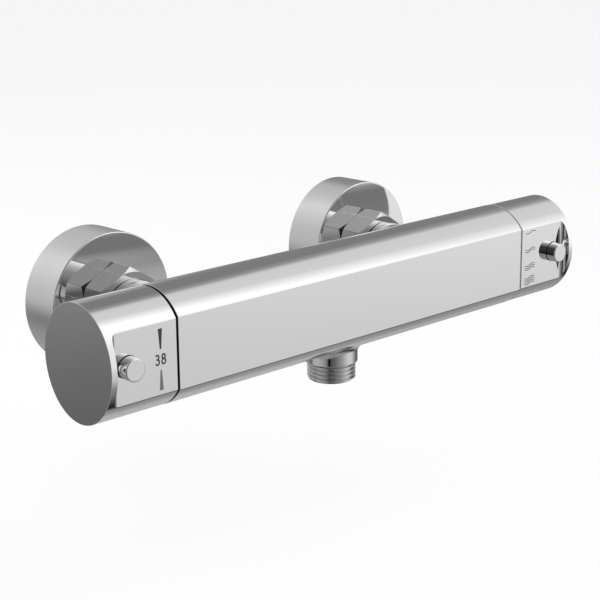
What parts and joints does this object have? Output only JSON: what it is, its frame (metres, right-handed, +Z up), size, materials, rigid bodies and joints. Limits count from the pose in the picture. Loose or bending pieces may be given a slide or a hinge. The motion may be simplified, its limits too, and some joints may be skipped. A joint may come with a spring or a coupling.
{
  "type": "thermostatic shower valve",
  "caption": "Wall-mounted thermostatic bar shower valve with oval flat-fronted bar, turning end handles with push buttons, two wall unions and a threaded hose outlet.",
  "frame": {"origin": "on the wall's surface, midway between the two inlets, at the height of the bar's axis", "axes": "+X along the bar to the flow handle, +Y into the wall, +Z up"},
  "size_m": [0.2714, 0.1142, 0.0679],
  "materials": {
    "chrome": "bright polished chrome plate",
    "brass": "turned bare brass",
    "rubber": "matt black rubber",
    "white_plastic": "matt white moulding",
    "red_plastic": "matt red moulding",
    "steel": "bright stainless steel",
    "ceramic": "lapped ceramic",
    "black_plastic": "matt black moulding",
    "grey_plastic": "matt grey moulding"
  },
  "bodies": {
    "root": {"body_casting": "chrome", "hot_inlet_nipple": "brass", "cold_inlet_nipple": "brass", "nipple_orings": "rubber", "hot_union_nut": "chrome", "cold_union_nut": "chrome", "hot_strainer_washer": "rubber", "cold_strainer_washer": "rubber", "hot_s_union": "brass", "cold_s_union": "brass", "hot_wall_flange": "chrome", "cold_wall_flange": "chrome", "flange_orings": "rubber", "hot_check_housing": "white_plastic", "cold_check_housing": "white_plastic", "hot_check_spring": "steel", "cold_check_spring": "steel", "cartridge_nut": "brass", "cartridge_sleeve": "brass", "cartridge_seat": "brass", "cartridge_orings": "rubber", "return_spring": "steel", "temperature_stop_ring": "white_plastic", "temperature_glide_ring": "black_plastic", "headwork_bonnet": "brass", "headwork_oring": "rubber", "fixed_disc": "ceramic", "disc_seal": "rubber", "flow_stop_ring": "white_plastic", "flow_glide_ring": "grey_plastic"},
    "temperature_handle": {"temperature_handle": "chrome", "temperature_carrier": "white_plastic", "temperature_carrier_screw": "steel", "temperature_grub_screw": "steel", "temperature_spindle": "brass", "temperature_spindle_oring": "rubber", "safety_button_spring": "steel"},
    "safety_button": {"safety_button": "chrome"},
    "regulator": {"regulating_nut": "white_plastic", "overload_spring": "steel", "overload_plunger": "brass", "plunger_ring": "steel", "wax_piston": "steel"},
    "mixing_spool": {"mixing_spool": "white_plastic", "spool_oring": "rubber", "wax_element": "brass"},
    "flow_handle": {"flow_handle": "chrome", "flow_carrier": "white_plastic", "flow_carrier_screw": "steel", "flow_grub_screw": "steel", "flow_spindle": "brass", "flow_spindle_oring": "rubber", "spindle_circlip": "steel", "moving_disc": "ceramic", "eco_button_spring": "steel"},
    "eco_button": {"eco_button": "chrome"},
    "hot_poppet": {"hot_check_poppet": "red_plastic"},
    "cold_poppet": {"cold_check_poppet": "red_plastic"}
  },
  "joints": [
    {"name": "temperature_turn", "type": "hinge", "parent": "root", "child": "temperature_handle", "pos_m": [-0.1015, -0.079, 0], "axis": [1, 0, 0], "range_deg": [-160, 65]},
    {"name": "regulator_slide", "type": "slide", "parent": "root", "child": "regulator", "axis": [1, 0, 0], "range_m": [-0.0007, 0.0003]},
    {"name": "wax_travel", "type": "slide", "parent": "regulator", "child": "mixing_spool", "axis": [1, 0, 0], "range_m": [-0.0004, 0.0004], "stiffness_N_per_m": 2500, "deforming": ["return_spring"]},
    {"name": "safety_button_press", "type": "slide", "parent": "temperature_handle", "child": "safety_button", "axis": [0, 1, 0], "range_m": [0, 0.0032], "stiffness_N_per_m": 600, "springref_m": -0.002, "deforming": ["safety_button_spring"]},
    {"name": "flow_turn", "type": "hinge", "parent": "root", "child": "flow_handle", "pos_m": [0.1015, -0.079, 0], "axis": [1, 0, 0], "range_deg": [0, 90]},
    {"name": "eco_button_press", "type": "slide", "parent": "flow_handle", "child": "eco_button", "axis": [0, 1, 0], "range_m": [0, 0.0032], "stiffness_N_per_m": 600, "springref_m": -0.002, "deforming": ["eco_button_spring"]},
    {"name": "hot_check_open", "type": "slide", "parent": "root", "child": "hot_poppet", "axis": [0, -1, 0], "range_m": [0, 0.003], "stiffness_N_per_m": 60, "springref_m": -0.002, "deforming": ["hot_check_spring"]},
    {"name": "cold_check_open", "type": "slide", "parent": "root", "child": "cold_poppet", "axis": [0, -1, 0], "range_m": [0, 0.003], "stiffness_N_per_m": 60, "springref_m": -0.002, "deforming": ["cold_check_spring"]}
  ],
  "couplings": [
    {"joint": "regulator_slide", "follows": "temperature_turn", "m_per_rad": 0.00023873}
  ]
}
